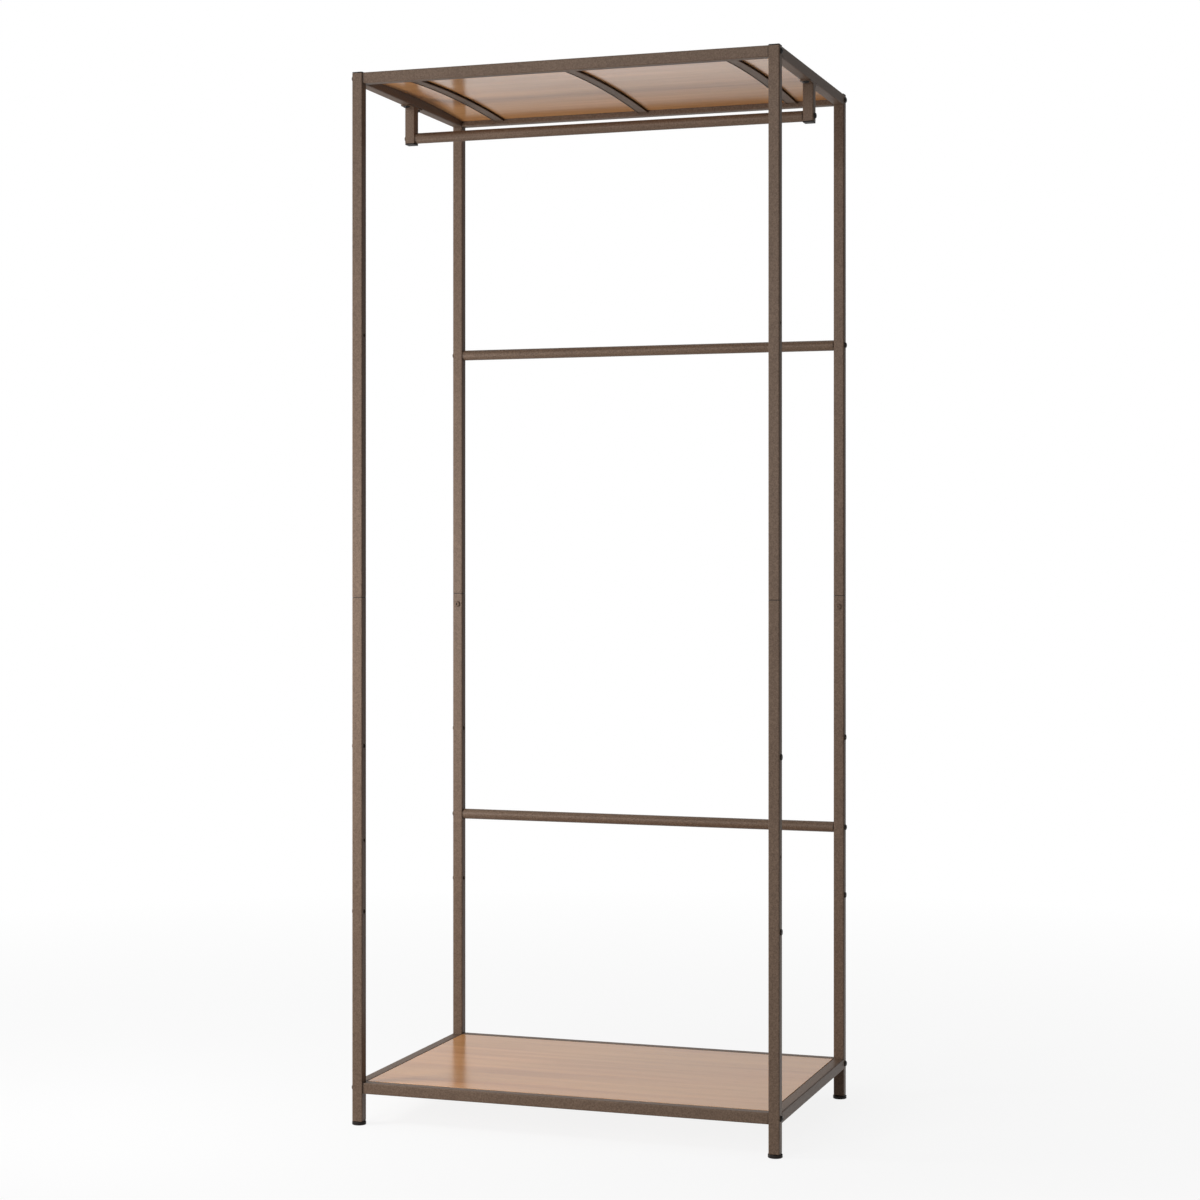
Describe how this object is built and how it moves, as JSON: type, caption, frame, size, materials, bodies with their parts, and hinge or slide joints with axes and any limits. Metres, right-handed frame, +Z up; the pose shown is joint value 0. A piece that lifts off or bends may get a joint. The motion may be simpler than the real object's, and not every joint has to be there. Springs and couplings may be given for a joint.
{
  "type": "clothes rack",
  "caption": "Freestanding clothes rack: bronze square-tube frame with framed bamboo-look shelves at top and bottom, a hanging rod under the top and rods across the back.",
  "frame": {"origin": "on the floor, in the middle of the footprint", "axes": "+Z up along the posts, +X to the rack's right along the hanging rod, -Y towards the front"},
  "size_m": [0.7686, 0.5074, 1.829],
  "materials": {
    "powder_coat": "bronze brown powder coat, fine speckle, satin",
    "bamboo_laminate": "bamboo-look laminate, grain along X, satin gloss",
    "black_screw": "black oxide, satin",
    "black_plastic": "moulded black plastic, fine grain",
    "plated_stem": "zinc plated thread"
  },
  "bodies": {
    "frame": {"bottom_board": "bamboo_laminate", "bottom_frame_screw_back_left": "black_screw", "bottom_frame_screw_back_right": "black_screw", "bottom_frame_screw_front_left": "black_screw", "bottom_frame_screw_front_right": "black_screw", "bottom_shelf_frame": "powder_coat", "bottom_side_rail_left": "powder_coat", "bottom_side_rail_right": "powder_coat", "bracket_plug_left": "black_plastic", "bracket_plug_right": "black_plastic", "bracket_screw_left_back": "black_screw", "bracket_screw_left_front": "black_screw", "bracket_screw_right_back": "black_screw", "bracket_screw_right_front": "black_screw", "hanging_rod": "powder_coat", "joint_screw_back_left": "powder_coat", "joint_screw_back_right": "powder_coat", "joint_screw_front_left": "powder_coat", "joint_screw_front_right": "powder_coat", "lower_back_rod": "powder_coat", "lower_back_rod_screw_left": "black_screw", "lower_back_rod_screw_right": "black_screw", "lower_post_back_left": "powder_coat", "lower_post_back_right": "powder_coat", "lower_post_front_left": "powder_coat", "lower_post_front_right": "powder_coat", "rod_bracket_left": "powder_coat", "rod_bracket_right": "powder_coat", "rod_screw_left": "black_screw", "rod_screw_right": "black_screw", "top_board": "bamboo_laminate", "top_cap_back_left": "black_plastic", "top_cap_back_right": "black_plastic", "top_cap_front_left": "black_plastic", "top_cap_front_right": "black_plastic", "top_frame_screw_back_left": "black_screw", "top_frame_screw_back_right": "black_screw", "top_frame_screw_front_left": "black_screw", "top_frame_screw_front_right": "black_screw", "top_shelf_frame": "powder_coat", "top_side_rail_left": "powder_coat", "top_side_rail_right": "powder_coat", "upper_back_rod": "powder_coat", "upper_back_rod_screw_left": "black_screw", "upper_back_rod_screw_right": "black_screw", "upper_post_back_left": "powder_coat", "upper_post_back_right": "powder_coat", "upper_post_front_left": "powder_coat", "upper_post_front_right": "powder_coat"},
    "pad_front_left": {"foot_pad_front_left": "black_plastic"},
    "stem_front_left": {"foot_stem_front_left": "plated_stem"},
    "pad_front_right": {"foot_pad_front_right": "black_plastic"},
    "stem_front_right": {"foot_stem_front_right": "plated_stem"},
    "pad_back_left": {"foot_pad_back_left": "black_plastic"},
    "stem_back_left": {"foot_stem_back_left": "plated_stem"},
    "pad_back_right": {"foot_pad_back_right": "black_plastic"},
    "stem_back_right": {"foot_stem_back_right": "plated_stem"}
  },
  "joints": [
    {"name": "foot_lift_front_left", "type": "slide", "parent": "frame", "child": "pad_front_left", "axis": [0, 0, -1], "range_m": [0, 0.01]},
    {"name": "foot_turn_front_left", "type": "hinge", "parent": "pad_front_left", "child": "stem_front_left", "pos_m": [-0.3715, -0.2415, 0.02], "axis": [0, 0, -1], "range_deg": [0, 2880]},
    {"name": "foot_lift_front_right", "type": "slide", "parent": "frame", "child": "pad_front_right", "axis": [0, 0, -1], "range_m": [0, 0.01]},
    {"name": "foot_turn_front_right", "type": "hinge", "parent": "pad_front_right", "child": "stem_front_right", "pos_m": [0.3715, -0.2415, 0.02], "axis": [0, 0, -1], "range_deg": [0, 2880]},
    {"name": "foot_lift_back_left", "type": "slide", "parent": "frame", "child": "pad_back_left", "axis": [0, 0, -1], "range_m": [0, 0.01]},
    {"name": "foot_turn_back_left", "type": "hinge", "parent": "pad_back_left", "child": "stem_back_left", "pos_m": [-0.3715, 0.2415, 0.02], "axis": [0, 0, -1], "range_deg": [0, 2880]},
    {"name": "foot_lift_back_right", "type": "slide", "parent": "frame", "child": "pad_back_right", "axis": [0, 0, -1], "range_m": [0, 0.01]},
    {"name": "foot_turn_back_right", "type": "hinge", "parent": "pad_back_right", "child": "stem_back_right", "pos_m": [0.3715, 0.2415, 0.02], "axis": [0, 0, -1], "range_deg": [0, 2880]}
  ],
  "couplings": [
    {"joint": "foot_turn_front_left", "follows": "foot_lift_front_left", "rad_per_m": 5026.5},
    {"joint": "foot_turn_front_right", "follows": "foot_lift_front_right", "rad_per_m": 5026.5},
    {"joint": "foot_turn_back_left", "follows": "foot_lift_back_left", "rad_per_m": 5026.5},
    {"joint": "foot_turn_back_right", "follows": "foot_lift_back_right", "rad_per_m": 5026.5}
  ]
}
